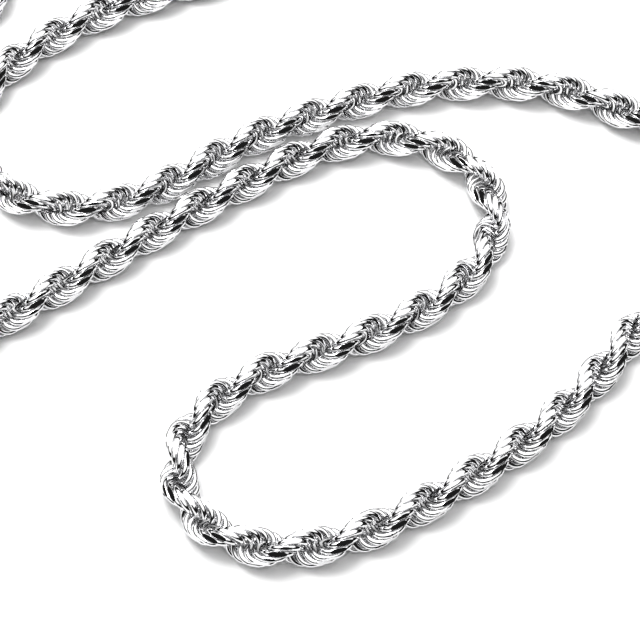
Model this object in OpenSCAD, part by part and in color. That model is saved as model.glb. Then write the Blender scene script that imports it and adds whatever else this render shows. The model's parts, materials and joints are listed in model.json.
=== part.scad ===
/* [Chain] */
// Distance from each ring to the next one, along the chain
ring_pitch = 0.542; // [0.53:0.002:0.542]
// Radius of a ring, to the middle of its wire
ring_r = 1.25; // [1.24:0.01:1.28]
// Thickness of the ring wire
wire_d = 0.4; // [0.36:0.01:0.4]
// Turn about the chain from each ring to the next, in degrees
ring_twist = 21; // [20.5:0.5:22]
// Opening in each ring, in degrees, through which its neighbours were hooked in
ring_gap = 46; // [44:1:52]

/* [End caps] */
// Length of the barrel that the last rings are soldered into
barrel_len = 2.5; // [2.4:0.1:2.8]
// Radius of the eye at the end of each cap, to the middle of its wire
eye_r = 0.95; // [0.95:0.05:1.05]
// Thickness of the eye's wire
eye_wire = 0.5; // [0.4:0.05:0.5]

/* [Clasp] */
// Thickness of the lobster clasp
clasp_t = 2.4; // [2.4:0.1:2.8]
// Radius of the clasp's round ends
clasp_r = 2.5; // [2.4:0.1:2.7]
// Thickness of the hook's wall
hook_wall = 1.15; // [1:0.05:1.2]
// Radius of the small ring between cap and clasp, to the middle of its wire
jump_r = 1.5; // [1.4:0.1:1.8]
// Thickness of the small ring's wire
jump_wire = 0.5; // [0.4:0.05:0.5]
// Diameter of the rivet that the lever turns on
rivet_d = 0.6; // [0.5:0.05:0.7]
// Turn of the clasp where it lies, against the line of the chain
clasp_swing = 14; // [0:1:15]

/* [Catch ring] */
// Radius of the ring that the clasp hooks into, to the middle of its wire
catch_r = 2; // [1.8:0.1:2.4]
// Thickness of the catch ring's wire
catch_wire = 0.7; // [0.6:0.05:0.7]

/* [Hidden] */
// The chain is a rope chain: every ring passes through the four rings after it, and
// each is turned a little further, so that the rings form two strands that twist
// round each other. It lies on a flat surface at z = 0, and it is modelled as
// segments of rings that bend against each other.
segment_count = 42;
segment_rings = 19;
ring_count = segment_count * segment_rings;
axis_h = ring_r + wire_d / 2;
slack = 0.02;
steps = 8;
detail = 64;

// Line that the chain lies along, from the clasp to the catch ring. The points
// pull the line towards them, and it runs smoothly between them.
route = [
    [-43, 55.5], [-47.3, 51.5], [-50.5, 46.3], [-52.2, 40], [-54, 33], [-55, 26],
    [-54.5, 19], [-52.5, 12], [-51, 4], [-48.3, -4], [-42.5, -8], [-36, -7.3],
    [-30, -3.5], [-24, 0.5], [-18.3, 4.7], [-12.3, 9.3], [-6.3, 13.1], [-1.2, 16.5],
    [4.5, 18.4], [10, 17.3], [13.8, 14], [15, 9.3], [13.2, 3.9], [8, -0.4],
    [2, -3.4], [-4.5, -5.7], [-9.5, -9.3], [-11.8, -14.2], [-10.4, -19.3],
    [-5.4, -22.5], [1, -22], [6.7, -19.1], [12.3, -15.4], [18, -11.2],
    [23, -5.6], [27.4, 0.8], [31.5, 6.5], [34, 12.5], [31.5, 17.8],
    [26.5, 20.7], [21, 23.6], [15, 24.2], [9, 23.8], [3, 22], [-2.8, 19.5],
    [-7.6, 17], [-12, 13.4], [-17, 10.7], [-22, 10.1], [-26.2, 11.6],
    [-29.4, 14.7], [-30.8, 18.9], [-29.6, 23.2], [-26.6, 27], [-22, 30.8],
    [-16, 34], [-9, 36.5], [-2.5, 40], [-0.5, 46.5], [-4.5, 52], [-11.5, 53.5],
    [-18.5, 50.5], [-24, 44.5], [-27.7, 37.5], [-31, 30.5], [-36, 26],
    [-42, 23.5], [-46, 18.5], [-45.5, 12.5], [-42, 7.5]
];
// Middle of the area that the necklace covers
plan_centre = [-10.9, 22.7];

// Smooth curve through the route: its points, their distance along it, and
// lookup tables from that distance to x and y.
last = len(route) - 1;
ends = concat([2 * route[0] - route[1]], route, [2 * route[last] - route[last - 1]]);
function blend_point(i, t) =
    ((1 - t) ^ 3 * ends[i]
    + (3 * t ^ 3 - 6 * t ^ 2 + 4) * ends[i + 1]
    + (-3 * t ^ 3 + 3 * t ^ 2 + 3 * t + 1) * ends[i + 2]
    + t ^ 3 * ends[i + 3]) / 6 - plan_centre;
line = concat(
    [for (i = [0 : last - 1]) for (j = [0 : steps - 1]) blend_point(i, j / steps)],
    [route[last] - plan_centre]
);
far = [
    for (i = 0, d = 0; i < len(line);
        d = d + (i + 1 < len(line) ? norm(line[i + 1] - line[i]) : 0), i = i + 1) d
];
x_table = [for (i = [0 : len(line) - 1]) [far[i], line[i][0]]];
y_table = [for (i = [0 : len(line) - 1]) [far[i], line[i][1]]];
route_len = far[len(far) - 1];
function spot(s) = [lookup(s, x_table), lookup(s, y_table)];
function heading(s) =
    let (step = spot(s + 0.4) - spot(s - 0.4))
    atan2(step[1], step[0]);
first_s = (route_len - (ring_count - 1) * ring_pitch) / 2;
function ring_s(k) = first_s + k * ring_pitch;

// Places along the line that runs on from each end of the chain
barrel_start = -0.1;
barrel_r = axis_h - 0.05;
soldered_rings = 3;
neck_x = barrel_start + barrel_len;
eye_x = neck_x + 1.6;
jump_drop = 0.33;
jump_x = eye_x + 0.15 + jump_r;
clasp_x = jump_r + 0.15;
catch_drop = 0.3;
catch_tilt = asin((axis_h - catch_drop - catch_wire / 2) / (2 * catch_r));

// Places along the clasp, from the middle of its eye
clasp_mid = clasp_t / 2;
clasp_eye_r = clasp_mid - eye_wire / 2;
shank_x = 0.9;
back_x = 2.1 + clasp_r;
front_x = back_x + 3.4;
pivot = [3.4, -1.3];
gate_start = 4.3;
gate_end = 8.4;
lever_tip = 8.25;
lever_arm = [1.4, 2.2];
slot_t = 0.9;
lever_t = 0.8;
hub_r = 0.75;

function two(n) = n < 10 ? str("0", n) : str(n);
function segment_name(n) = str("chain_segment_", two(n));

module hoop(r, wire, angle = 360) {
    rotate_extrude(angle = angle, $fn = detail)
        translate([r, 0])
            circle(d = wire, $fn = 24);
}

module at_line(s, turn = 0) {
    translate(concat(spot(s), [0]))
        rotate([0, 0, heading(s) + turn])
            children();
}

// One ring about its own middle, with the chain running along X. Its opening is
// at its front, where the rings four and five places on pass through.
module open_ring(k, wire) {
    rotate([-k * ring_twist, 0, 0])
        rotate([0, 0, ring_gap / 2])
            hoop(ring_r, wire, 360 - ring_gap);
}

module chain_segment(n) {
    first = (n - 1) * segment_rings;
    color([0.8, 0.8, 0.82])
        for (k = [first : first + segment_rings - 1])
            at_line(ring_s(k))
                translate([0, 0, axis_h])
                    open_ring(k, wire_d);
}

module upright_eye(r) {
    rotate([90, 0, 0])
        hoop(r, eye_wire);
}

// Cap whose barrel is filled with solder round the last rings of the chain. It
// points along +X and its middle line is at z = 0. The last ring's number and the
// step from it to the ring before it say how those rings are turned.
module end_cap(last_ring, step) {
    difference() {
        union() {
            rotate([0, 90, 0])
                rotate_extrude($fn = detail)
                    barrel_profile();
            translate([eye_x, 0, 0])
                upright_eye(eye_r);
        }
        for (i = [0 : soldered_rings - 1])
            translate([-i * ring_pitch, 0, 0])
                rotate([0, 0, step < 0 ? 0 : 180])
                    open_ring(last_ring + i * step, wire_d + 2 * slack);
    }
}

// Half outline of the barrel, with its length along Y
module barrel_profile() {
    rim = 0.2;
    shoulder = 0.6;
    neck_r = 0.45;
    polygon([
        [0, barrel_start],
        [barrel_r - rim, barrel_start],
        [barrel_r, barrel_start + rim],
        [barrel_r, neck_x - shoulder],
        [barrel_r - rim, neck_x - shoulder + rim],
        [neck_r, neck_x],
        [neck_r, neck_x + eye_wire],
        [0, neck_x + eye_wire]
    ]);
}

module end_cap_clasp_side() {
    color([0.82, 0.82, 0.84])
        at_line(ring_s(0), 180)
            translate([0, 0, axis_h])
                end_cap(0, 1);
}

module end_cap_ring_side() {
    color([0.82, 0.82, 0.84])
        at_line(ring_s(ring_count - 1))
            translate([0, 0, axis_h])
                end_cap(ring_count - 1, -1);
}

module jump_ring() {
    split = 6;
    color([0.78, 0.78, 0.8])
        at_line(ring_s(0), 180)
            translate([jump_x, 0, axis_h - jump_drop])
                rotate([0, 0, 90 + split])
                    hoop(jump_r, jump_wire, 360 - split);
}

// Puts the clasp's pieces where the clasp lies: they are drawn with its eye's
// middle over the origin and its hook along +X.
module at_clasp() {
    at_line(ring_s(0), 180)
        translate([jump_x, 0, 0])
            rotate([0, 0, clasp_swing])
                translate([clasp_x, 0, 0])
                    children();
}

module oblong(x1, x2, r) {
    translate([x1, 0])
        circle(r, $fn = detail);
    translate([x2, 0])
        circle(r, $fn = detail);
    translate([x1, -r])
        square([x2 - x1, 2 * r]);
}

module clasp_outline() {
    inner_r = clasp_r - hook_wall;
    difference() {
        union() {
            oblong(back_x, front_x, clasp_r);
            translate([shank_x, -0.8])
                square([2, 1.6]);
        }
        oblong(back_x + 0.7, front_x, inner_r);
        translate([gate_start, -clasp_r - 1])
            square([gate_end - gate_start, clasp_r]);
        translate(pivot)
            circle(d = rivet_d + 2 * slack, $fn = detail);
    }
}

module clasp_body() {
    color([0.8, 0.8, 0.82])
        at_clasp() {
            difference() {
                linear_extrude(clasp_t)
                    clasp_outline();
                translate([pivot[0] - 1, -clasp_r - 1, clasp_mid - slot_t / 2])
                    cube([3, clasp_r + 1, slot_t]);
            }
            translate([0, 0, clasp_mid])
                upright_eye(clasp_eye_r);
        }
}

module clasp_lever() {
    wide_t = clasp_t - 0.4;
    wide_x = gate_start + 0.5;
    arm_w = lever_arm[1] - lever_arm[0];
    color([0.76, 0.76, 0.78])
        at_clasp()
            difference() {
                union() {
                    translate([pivot[0], pivot[1], clasp_mid - lever_t / 2])
                        cylinder(r = hub_r, h = lever_t / 2, $fn = detail);
                    translate([pivot[0], -lever_arm[1], clasp_mid - lever_t / 2])
                        cube([wide_x - pivot[0] + 0.2, arm_w, lever_t / 2]);
                    translate([wide_x, -lever_arm[1], clasp_mid - wide_t / 2])
                        cube([lever_tip - wide_x, arm_w, wide_t]);
                    translate([wide_x, -lever_arm[1] - 1, clasp_mid - wide_t / 2])
                        cube([0.9, 1.1, wide_t]);
                }
                translate([pivot[0], pivot[1], -1])
                    cylinder(d = rivet_d + 2 * slack, h = clasp_t + 2, $fn = detail);
            }
}

module clasp_rivet() {
    color([0.7, 0.7, 0.72])
        at_clasp()
            translate(pivot)
                cylinder(d = rivet_d, h = clasp_t, $fn = detail);
}

// Coil round the rivet, above the lever's hub, with one leg against the body
module clasp_spring() {
    coil_t = 0.3;
    coil_r = 0.6;
    color([0.6, 0.6, 0.62])
        at_clasp()
            translate([pivot[0], pivot[1], clasp_mid + 0.06])
                difference() {
                    union() {
                        cylinder(r = coil_r, h = coil_t, $fn = detail);
                        translate([-coil_r, 0, 0])
                            cube([0.2, 1, coil_t]);
                    }
                    translate([0, 0, -1])
                        cylinder(d = rivet_d + 2 * slack, h = 3, $fn = detail);
                }
}

module catch_ring() {
    color([0.8, 0.8, 0.82])
        at_line(ring_s(ring_count - 1))
            translate([eye_x + 0.1, 0, axis_h - catch_drop])
                rotate([0, catch_tilt, 0])
                    translate([catch_r, 0, 0])
                        hoop(catch_r, catch_wire);
}

for (n = [1 : segment_count])
    chain_segment(n);
end_cap_clasp_side();
end_cap_ring_side();
jump_ring();
clasp_body();
clasp_lever();
clasp_rivet();
clasp_spring();
catch_ring();
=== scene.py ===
"""Diamond-cut silver rope chain necklace, laid out in loose loops on a white table.

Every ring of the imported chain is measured, and a finer ring takes its place: the same
middle, turn and opening, with drawn wire that is cut by the chain's eight flats. The
clasp and its lever get rounded edges, and the other fittings keep their CAD shape.
Lengths are in metres.
"""

import json
import math

import bmesh
import bpy
import numpy as np
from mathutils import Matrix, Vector

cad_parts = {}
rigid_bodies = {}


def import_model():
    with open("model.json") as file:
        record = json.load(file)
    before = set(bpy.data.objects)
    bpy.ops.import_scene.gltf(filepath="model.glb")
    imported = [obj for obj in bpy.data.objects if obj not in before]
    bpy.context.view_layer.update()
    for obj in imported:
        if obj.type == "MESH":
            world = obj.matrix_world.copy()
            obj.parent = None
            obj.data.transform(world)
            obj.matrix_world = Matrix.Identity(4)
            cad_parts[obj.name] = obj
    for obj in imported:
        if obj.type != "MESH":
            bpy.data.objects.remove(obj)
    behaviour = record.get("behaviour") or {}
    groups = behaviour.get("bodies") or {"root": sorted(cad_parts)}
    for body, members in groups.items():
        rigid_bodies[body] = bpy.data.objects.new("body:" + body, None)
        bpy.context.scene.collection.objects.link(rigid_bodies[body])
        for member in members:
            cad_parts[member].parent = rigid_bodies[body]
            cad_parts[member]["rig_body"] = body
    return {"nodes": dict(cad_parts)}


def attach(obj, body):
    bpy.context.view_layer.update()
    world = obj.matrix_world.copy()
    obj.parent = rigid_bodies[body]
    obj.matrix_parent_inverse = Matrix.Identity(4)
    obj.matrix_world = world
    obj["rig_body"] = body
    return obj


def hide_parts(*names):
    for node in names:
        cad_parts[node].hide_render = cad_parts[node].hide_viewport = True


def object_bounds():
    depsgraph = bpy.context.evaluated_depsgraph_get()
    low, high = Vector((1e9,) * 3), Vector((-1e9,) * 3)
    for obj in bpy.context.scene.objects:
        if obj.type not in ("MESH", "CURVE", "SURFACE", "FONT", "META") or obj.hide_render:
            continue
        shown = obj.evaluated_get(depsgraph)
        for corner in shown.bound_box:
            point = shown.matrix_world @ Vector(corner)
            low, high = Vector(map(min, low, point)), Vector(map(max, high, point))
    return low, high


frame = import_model()
cad_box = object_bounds()

MM = 0.001
UP = np.array([0.0, 0.0, 1.0])

SEGMENT_PREFIX = "chain_segment_"

# The mesh of a ring: steps along its wire and round it
STEPS_ALONG = 56
STEPS_ROUND = 16

# The shape of a ring, as shares of its radius: how far its line reaches along the
# chain and across it, how blunt its outline is (2 is round), and the wire's thickness
ALONG_REACH = 1.02
ACROSS_REACH = 1.06
BLUNTNESS = 2.6
WIRE_SHARE = 0.345
FLANK_SWELL = 0.1

# The flats, and the least that a ring must stand out past one to be cut by it
FLAT_COUNT = 8
LEAST_CUT = 0.002 * MM

# Points of the CAD meshes that count as one
SAME_POINT = 0.0001 * MM

# The cast pieces
WELD = 0.0002 * MM
SHARP = math.radians(32)
COPLANAR = math.radians(1)
CLASP_ROUNDING = 0.14 * MM
LEVER_ROUNDING = 0.07 * MM

# The marks on silver, in repeats per metre
HAZE_SCALE = 900.0
MARK_SCALE = 2600.0
SCRATCH_SCALE = 1500.0
SCRATCH_STRETCH = 9.0
SCRATCH_TURN = (0.3, 0.5, 0.8)

# The camera, as a place over the necklace's box
LOOK_AT = (0.6197, 0.2541)
CAMERA_ELEVATION = math.radians(56)
CAMERA_DISTANCE = 0.2
CAMERA_FIELD = math.radians(15)
CAMERA_NEAREST = 0.01

# The studio: which way the white tent stands, where its edge is and how bright it is
TENT_TOWARDS = (-0.1, 0.14, 1.0)
TENT_EDGE = (0.58, 0.7)
TENT_LEVEL = 1.25
DARK_LEVEL = 0.02
BACKDROP_LEVEL = 1.0
BACKDROP_RADIUS = 2.8
LAMP_SIZE = 0.3
LAMP_POWER = 2.2
LAMP_PLACE = (-0.12, 0.15, 0.6)
TABLE_SIZE = 4.0
TABLE_COLOUR = (0.93, 0.93, 0.93, 1)
TABLE_ROUGHNESS = 0.9


# ---------------------------------------------------------------- node helpers


def new_material(name):
    """An empty node material with its Principled shader."""
    material = bpy.data.materials.new(name)
    material.use_nodes = True
    shader = material.node_tree.nodes["Principled BSDF"]
    return material, material.node_tree, shader


def add_node(tree, kind, **values):
    """A node with its inputs set by name."""
    node = tree.nodes.new(kind)
    for key, value in values.items():
        node.inputs[key].default_value = value
    return node


def noise(tree, coords, scale, detail=4.0):
    """A noise texture in object space."""
    node = add_node(tree, "ShaderNodeTexNoise", Scale=scale, Detail=detail)
    tree.links.new(coords, node.inputs["Vector"])
    return node.outputs["Fac"]


def remap(tree, value, low, high, source_low=0.35, source_high=0.65):
    """value, spread from low to high."""
    node = tree.nodes.new("ShaderNodeMapRange")
    node.inputs["From Min"].default_value = source_low
    node.inputs["From Max"].default_value = source_high
    node.inputs["To Min"].default_value = low
    node.inputs["To Max"].default_value = high
    tree.links.new(value, node.inputs["Value"])
    return node.outputs["Result"]


def mix_colour(tree, factor, first, second):
    """first and second blended by factor."""
    node = tree.nodes.new("ShaderNodeMix")
    node.data_type = "RGBA"
    node.inputs["A"].default_value = (*first, 1)
    node.inputs["B"].default_value = (*second, 1)
    tree.links.new(factor, node.inputs["Factor"])
    return node.outputs["Result"]


def bump(tree, height, distance):
    """A bump of that height, in metres."""
    node = add_node(tree, "ShaderNodeBump", Distance=distance, Strength=1.0)
    tree.links.new(height, node.inputs["Height"])
    return node.outputs["Normal"]


def scratches(tree, coords):
    """Fine straight scratches: noise pulled out along one direction."""
    mapping = tree.nodes.new("ShaderNodeMapping")
    mapping.inputs["Rotation"].default_value = SCRATCH_TURN
    mapping.inputs["Scale"].default_value = (1, SCRATCH_STRETCH, SCRATCH_STRETCH)
    tree.links.new(coords, mapping.inputs["Vector"])
    return noise(tree, mapping.outputs["Vector"], SCRATCH_SCALE, 3.0)


# ------------------------------------------------------------------- materials


def silver(name, bright, dull, roughness, scratch_depth):
    """Polished metal with a faint haze, handling marks and fine scratches."""
    material, tree, shader = new_material(name)
    coords = tree.nodes.new("ShaderNodeTexCoord").outputs["Object"]
    haze = noise(tree, coords, HAZE_SCALE)
    shader.inputs["Metallic"].default_value = 1.0
    tint = mix_colour(tree, remap(tree, haze, 0.0, 1.0), bright, dull)
    tree.links.new(tint, shader.inputs["Base Color"])
    marks = noise(tree, coords, MARK_SCALE, 6.0)
    tree.links.new(remap(tree, marks, *roughness), shader.inputs["Roughness"])
    normal = bump(tree, scratches(tree, coords), scratch_depth)
    tree.links.new(normal, shader.inputs["Normal"])
    return material


def wire_silver():
    """The drawn and polished round wire of the rings."""
    return silver(
        "wire_silver",
        bright=(0.84, 0.84, 0.845),
        dull=(0.76, 0.76, 0.77),
        roughness=(0.04, 0.1),
        scratch_depth=0.0004 * MM,
    )


def cut_silver():
    """The flats, mirror bright from the diamond tool."""
    return silver(
        "cut_silver",
        bright=(0.88, 0.88, 0.885),
        dull=(0.84, 0.84, 0.85),
        roughness=(0.02, 0.05),
        scratch_depth=0.00015 * MM,
    )


def fitting_silver():
    """Cast and tumbled silver of the caps and rings."""
    return silver(
        "fitting_silver",
        bright=(0.74, 0.74, 0.745),
        dull=(0.66, 0.66, 0.67),
        roughness=(0.07, 0.18),
        scratch_depth=0.0008 * MM,
    )


def clasp_silver():
    """The clasp, a little duller from handling."""
    return silver(
        "clasp_silver",
        bright=(0.66, 0.66, 0.67),
        dull=(0.5, 0.5, 0.51),
        roughness=(0.1, 0.24),
        scratch_depth=0.0015 * MM,
    )


def spring_wire():
    """The clasp's small steel spring."""
    return silver(
        "spring_wire",
        bright=(0.62, 0.62, 0.64),
        dull=(0.5, 0.5, 0.52),
        roughness=(0.18, 0.3),
        scratch_depth=0.0008 * MM,
    )


# ----------------------------------------------------------- measuring the rings


def welded(mesh):
    """The mesh's points with doubles merged, and its edges between them."""
    co = np.empty(len(mesh.vertices) * 3)
    mesh.vertices.foreach_get("co", co)
    co = co.reshape(-1, 3)
    edges = np.empty(len(mesh.edges) * 2, int)
    mesh.edges.foreach_get("vertices", edges)
    keys = np.round(co / SAME_POINT).astype(np.int64)
    _, first, where = np.unique(keys, axis=0, return_index=True, return_inverse=True)
    return co[first], where.ravel()[edges].reshape(-1, 2)


def islands(count, edges):
    """A number for each point, the same for all points that are joined by edges."""
    label = np.arange(count)
    while True:
        one, two = label[edges[:, 0]], label[edges[:, 1]]
        apart = one != two
        if not apart.any():
            return label
        one, two = one[apart], two[apart]
        low, high = np.minimum(one, two), np.maximum(one, two)
        label[high] = low
        while not np.array_equal(label, label[label]):
            label = label[label]


def ring_facts(points):
    """A ring's middle, its plane's normal, its radius and the points themselves."""
    middle = points.mean(0)
    side, other, normal = np.linalg.svd(points - middle, full_matrices=False)[2]
    flat = np.stack([(points - middle) @ side, (points - middle) @ other], 1)
    system = np.c_[2 * flat, np.ones(len(flat))]
    centre = np.linalg.lstsq(system, (flat**2).sum(1), rcond=None)[0]
    middle = middle + centre[0] * side + centre[1] * other
    return {
        "middle": middle,
        "normal": normal,
        "radius": np.sqrt(centre[2] + centre[0] ** 2 + centre[1] ** 2),
        "points": points,
    }


def segment_names():
    """The chain's segments in order along the chain."""
    return sorted(n for n in frame["nodes"] if n.startswith(SEGMENT_PREFIX))


def measure_chain():
    """All the rings in order, each with the chain's direction there."""
    rings = []
    for name in segment_names():
        points, edges = welded(frame["nodes"][name].data)
        label = islands(len(points), edges)
        group = [ring_facts(points[label == i]) for i in np.unique(label)]
        for ring in group:
            ring["segment"] = name
        rings += ordered(group, rings)
    middles = np.array([r["middle"] for r in rings])
    middles[:, 2] = (cad_box[0][2] + cad_box[1][2]) / 2
    ahead = np.gradient(middles, axis=0)
    ahead /= np.linalg.norm(ahead, axis=1)[:, None]
    for ring, middle, direction in zip(rings, middles, ahead):
        ring["middle"] = middle
        ring["ahead"] = direction
    return rings


def ordered(group, before):
    """The rings of one segment, nearest first from the end of the last segment."""
    group = list(group)
    if before:
        here = before[-1]["middle"]
    else:
        here = far_end(group)
    line = []
    while group:
        nearest = min(group, key=lambda r: np.linalg.norm(r["middle"] - here))
        group = [r for r in group if r is not nearest]
        line.append(nearest)
        here = nearest["middle"]
    return line


def far_end(group):
    """The end of the first segment that is away from the second one."""
    second = frame["nodes"][segment_names()[1]].data
    target = np.mean([v.co for v in second.vertices], axis=0)
    return max(group, key=lambda r: np.linalg.norm(r["middle"] - target))["middle"]


def opening_angle(ring, ahead, across):
    """Where the ring's opening is, and how wide, as angles from the chain's direction."""
    spokes = ring["points"] - ring["middle"]
    angles = np.sort(np.arctan2(spokes @ across, spokes @ ahead))
    gaps = np.diff(np.r_[angles, angles[0] + 2 * math.pi])
    widest = int(np.argmax(gaps))
    return angles[widest] + gaps[widest] / 2, gaps[widest]


# ------------------------------------------------------------- building the rings


def section_line(start, turn):
    """The ring's middle line and the wire's half thickness, as shares of its radius.

    The line is a circle blunted at its outer sides, where the wires lie along the
    chain. The wire is thickest there and thinner where it passes inside the others.
    """
    angle = start + turn * np.linspace(0, 1, STEPS_ALONG + 1)
    c, s = np.cos(angle), np.sin(angle)
    blunt = (np.abs(c) ** BLUNTNESS + np.abs(s) ** BLUNTNESS) ** (-1 / BLUNTNESS)
    return ALONG_REACH * blunt * c, ACROSS_REACH * blunt * s, 1 + FLANK_SWELL * s * s


def ring_points(ring, radius, wire):
    """The points of one open ring of round wire, loop after loop along it."""
    ahead = ring["ahead"]
    across = np.cross(ring["normal"], ahead)
    across /= np.linalg.norm(across)
    level = np.cross(ahead, across)
    gap_at, gap = opening_angle(ring, ahead, across)
    x, y, swell = section_line(gap_at + gap / 2, 2 * math.pi - gap)
    line = ring["middle"] + radius * (np.outer(x, ahead) + np.outer(y, across))
    tangent = np.gradient(line, axis=0)
    tangent /= np.linalg.norm(tangent, axis=1)[:, None]
    out = np.cross(tangent, level)
    round_the_wire = np.arange(STEPS_ROUND) * 2 * math.pi / STEPS_ROUND
    half = (wire * swell / 2)[:, None, None]
    spokes = (
        np.cos(round_the_wire)[None, :, None] * out[:, None]
        + np.sin(round_the_wire)[None, :, None] * level
    )
    return (line[:, None] + half * spokes).reshape(-1, 3)


def ring_faces():
    """The faces of one open ring: quads along the wire and a flat face at each end."""
    faces = []
    for i in range(STEPS_ALONG):
        for j in range(STEPS_ROUND):
            k = (j + 1) % STEPS_ROUND
            low, high = i * STEPS_ROUND, (i + 1) * STEPS_ROUND
            faces.append((low + j, low + k, high + k, high + j))
    last = STEPS_ALONG * STEPS_ROUND
    faces.append(tuple(range(STEPS_ROUND))[::-1])
    faces.append(tuple(last + j for j in range(STEPS_ROUND)))
    return faces


def flats_to_cut(points, ring, half_width):
    """The chain's flats that this ring reaches past, each as a point and a normal."""
    side = np.cross(UP, ring["ahead"])
    found = []
    for i in range(FLAT_COUNT):
        angle = 2 * math.pi * i / FLAT_COUNT
        normal = math.cos(angle) * side + math.sin(angle) * UP
        place = ring["middle"] + half_width * normal
        if ((points - place) @ normal).max() > LEAST_CUT:
            found.append((place, normal))
    return found


def cut_flats(bm, flats):
    """Cuts the ring by those flats and gives the cut faces the second material."""
    for place, normal in flats:
        cut = bmesh.ops.bisect_plane(
            bm,
            geom=bm.verts[:] + bm.edges[:] + bm.faces[:],
            dist=LEAST_CUT / 200,
            plane_co=place,
            plane_no=normal,
            clear_outer=True,
        )
        rim = [e for e in cut["geom_cut"] if isinstance(e, bmesh.types.BMEdge)]
        rim = [e for e in rim if e.is_boundary]
        for face in bmesh.ops.edgeloop_fill(bm, edges=rim)["faces"]:
            face.material_index = 1


def sharpen_flats(bm):
    """Smooth wire with sharp edges round each flat and each end."""
    for face in bm.faces:
        face.smooth = len(face.verts) < 5 and face.material_index == 0
    for face in bm.faces:
        if not face.smooth:
            for edge in face.edges:
                edge.smooth = False


def build_segment(name, rings, radius, wire, half_width, faces, materials):
    """One segment's rings as a single piece on that segment's body."""
    whole = bmesh.new()
    for ring in rings:
        points = ring_points(ring, radius, wire)
        part = bpy.data.meshes.new("part")
        part.from_pydata(points.tolist(), [], faces)
        bm = bmesh.new()
        bm.from_mesh(part)
        cut_flats(bm, flats_to_cut(points, ring, half_width))
        bmesh.ops.recalc_face_normals(bm, faces=bm.faces)
        bm.to_mesh(part)
        bm.free()
        whole.from_mesh(part)
        bpy.data.meshes.remove(part)
    sharpen_flats(whole)
    mesh = bpy.data.meshes.new(name + "_rings")
    whole.to_mesh(mesh)
    whole.free()
    for material in materials:
        mesh.materials.append(material)
    piece = bpy.data.objects.new(name + "_rings", mesh)
    bpy.context.scene.collection.objects.link(piece)
    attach(piece, frame["nodes"][name]["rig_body"])
    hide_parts(name)


def build_chain():
    """Every segment of the chain."""
    rings = measure_chain()
    half_width = (cad_box[1][2] - cad_box[0][2]) / 2
    radius = float(np.median([r["radius"] for r in rings]))
    wire = WIRE_SHARE * radius
    materials = (wire_silver(), cut_silver())
    faces = ring_faces()
    for name in segment_names():
        own = [r for r in rings if r["segment"] == name]
        build_segment(name, own, radius, wire, half_width, faces, materials)


# --------------------------------------------------------------------- fittings


def soften(name, width, material):
    """The CAD piece with its edges rounded, as cast and tumbled silver has them."""
    node = frame["nodes"][name]
    bm = bmesh.new()
    bm.from_mesh(node.data)
    bmesh.ops.remove_doubles(bm, verts=bm.verts, dist=WELD)
    bmesh.ops.dissolve_limit(
        bm, angle_limit=COPLANAR, verts=bm.verts, edges=bm.edges
    )
    sharp = [e for e in bm.edges if e.is_manifold and e.calc_face_angle() > SHARP]
    bmesh.ops.bevel(
        bm,
        geom=sharp,
        offset=width,
        offset_type="OFFSET",
        segments=2,
        profile=0.5,
        affect="EDGES",
        clamp_overlap=False,
    )
    bmesh.ops.triangulate(bm, faces=[f for f in bm.faces if len(f.verts) > 4])
    mesh = bpy.data.meshes.new(name + "_soft")
    bm.to_mesh(mesh)
    bm.free()
    mesh.shade_smooth()
    mesh.set_sharp_from_angle(angle=SHARP)
    mesh.materials.append(material)
    piece = bpy.data.objects.new(name + "_soft", mesh)
    bpy.context.scene.collection.objects.link(piece)
    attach(piece, node["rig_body"])
    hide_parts(name)


def finish_fittings():
    """Rounded edges on the cast pieces, and materials for the CAD pieces that stay."""
    fitting, clasp, spring = fitting_silver(), clasp_silver(), spring_wire()
    soften("clasp_body", CLASP_ROUNDING, clasp)
    soften("clasp_lever", LEVER_ROUNDING, clasp)
    for name, node in frame["nodes"].items():
        if name.startswith(SEGMENT_PREFIX) or name in ("clasp_body", "clasp_lever"):
            continue
        node.data.materials.clear()
        node.data.materials.append(spring if name == "clasp_spring" else fitting)


# ------------------------------------------------------------------- the studio


def build_floor():
    """A plain white table under the necklace."""
    material, tree, shader = new_material("table_white")
    shader.inputs["Base Color"].default_value = TABLE_COLOUR
    shader.inputs["Roughness"].default_value = TABLE_ROUGHNESS
    bpy.ops.mesh.primitive_plane_add(size=TABLE_SIZE, location=(0, 0, cad_box[0][2]))
    floor = bpy.context.object
    floor.name = "table"
    floor.data.materials.append(material)


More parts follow.
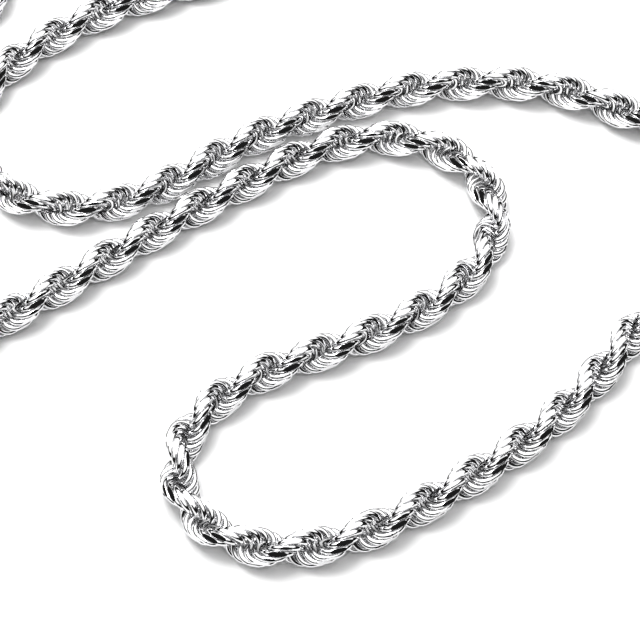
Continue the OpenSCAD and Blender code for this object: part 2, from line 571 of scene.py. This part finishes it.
def build_world():
    """A white tent overhead, which ends high up all round and highest at the front."""
    world = bpy.data.worlds.new("studio")
    bpy.context.scene.world = world
    world.use_nodes = True
    tree = world.node_tree
    background = tree.nodes["Background"]
    background.inputs["Color"].default_value = (1, 1, 1, 1)
    coords = tree.nodes.new("ShaderNodeTexCoord").outputs["Generated"]
    dot = tree.nodes.new("ShaderNodeVectorMath")
    dot.operation = "DOT_PRODUCT"
    dot.inputs[1].default_value = TENT_TOWARDS
    tree.links.new(coords, dot.inputs[0])
    level = remap(tree, dot.outputs["Value"], DARK_LEVEL, TENT_LEVEL, *TENT_EDGE)
    tree.links.new(level, background.inputs["Strength"])


def build_backdrop():
    """A pale dome round the table that only the camera sees."""
    material = bpy.data.materials.new("backdrop_white")
    material.use_nodes = True
    tree = material.node_tree
    tree.nodes.clear()
    glow = add_node(tree, "ShaderNodeEmission", Strength=BACKDROP_LEVEL)
    output = tree.nodes.new("ShaderNodeOutputMaterial")
    tree.links.new(glow.outputs["Emission"], output.inputs["Surface"])
    bpy.ops.mesh.primitive_uv_sphere_add(
        segments=48, ring_count=24, radius=BACKDROP_RADIUS, location=(0, 0, 0)
    )
    dome = bpy.context.object
    dome.name = "backdrop"
    dome.data.materials.append(material)
    for ray in ("diffuse", "glossy", "transmission", "volume_scatter", "shadow"):
        setattr(dome, "visible_" + ray, False)


def build_camera():
    """The camera in front of and above the near part of the necklace."""
    low, high = (np.array(c) for c in cad_box)
    target = low + np.array([*LOOK_AT, 0]) * (high - low)
    back = np.array([0, -math.cos(CAMERA_ELEVATION), math.sin(CAMERA_ELEVATION)])
    camera_data = bpy.data.cameras.new("camera")
    camera = bpy.data.objects.new("camera", camera_data)
    bpy.context.scene.collection.objects.link(camera)
    camera.location = target + back * CAMERA_DISTANCE
    camera.rotation_euler = (math.pi / 2 - CAMERA_ELEVATION, 0, 0)
    camera_data.angle = CAMERA_FIELD
    camera_data.clip_start = CAMERA_NEAREST
    bpy.context.scene.camera = camera


def build_lights():
    """A soft lamp high at the back left, for the shadow on the table."""
    lamp_data = bpy.data.lights.new("softbox", "AREA")
    lamp_data.size = LAMP_SIZE
    lamp_data.energy = LAMP_POWER
    lamp = bpy.data.objects.new("softbox", lamp_data)
    bpy.context.scene.collection.objects.link(lamp)
    lamp.location = LAMP_PLACE
    direction = Vector((0, 0, 0)) - lamp.location
    lamp.rotation_euler = direction.to_track_quat("-Z", "Y").to_euler()


view = bpy.context.scene.view_settings
view.view_transform = "Standard"
view.look = "Medium High Contrast"
build_camera()
build_world()
build_lights()
build_floor()
build_backdrop()
build_chain()
finish_fittings()
